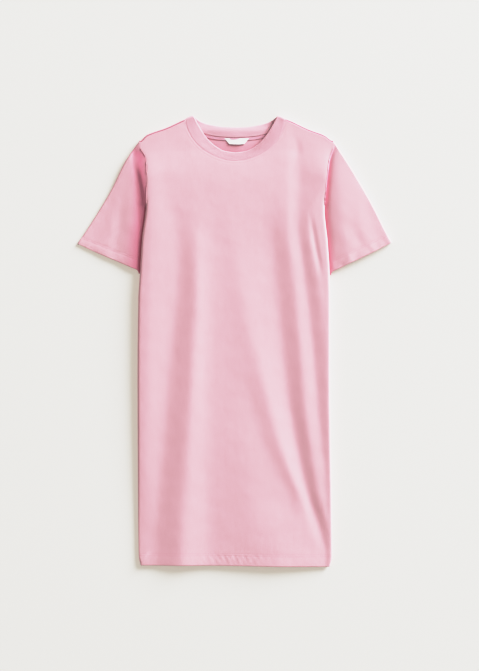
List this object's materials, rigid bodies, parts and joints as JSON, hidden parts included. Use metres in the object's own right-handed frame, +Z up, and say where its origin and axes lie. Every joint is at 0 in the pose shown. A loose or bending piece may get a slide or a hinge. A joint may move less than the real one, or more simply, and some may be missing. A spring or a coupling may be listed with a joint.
{
  "type": "t-shirt dress",
  "caption": "Knee-length t-shirt dress in plain cotton jersey with short sleeves and a round ribbed neck, laid flat on its back.",
  "frame": {"origin": "on the underside of the back panel, on the surface it lies on, close to the middle of the dress in width and length", "axes": "+Y from the hem to the neck, +X to the viewer's right when seen from above with the neck away from the viewer, +Z up from the surface"},
  "size_m": [0.6298, 0.8996, 0.018],
  "materials": {
    "jersey": "soft matt cotton jersey, fine vertical wales",
    "rib": "matt 1x1 rib knit",
    "tape": "matt jersey tape",
    "woven_label": "smooth white woven ribbon, bare"
  },
  "bodies": {
    "root": {"front": "jersey", "back": "jersey", "sleeve_left": "jersey", "sleeve_right": "jersey", "neckband": "rib", "neck_tape": "tape", "label": "woven_label"}
  },
  "joints": []
}
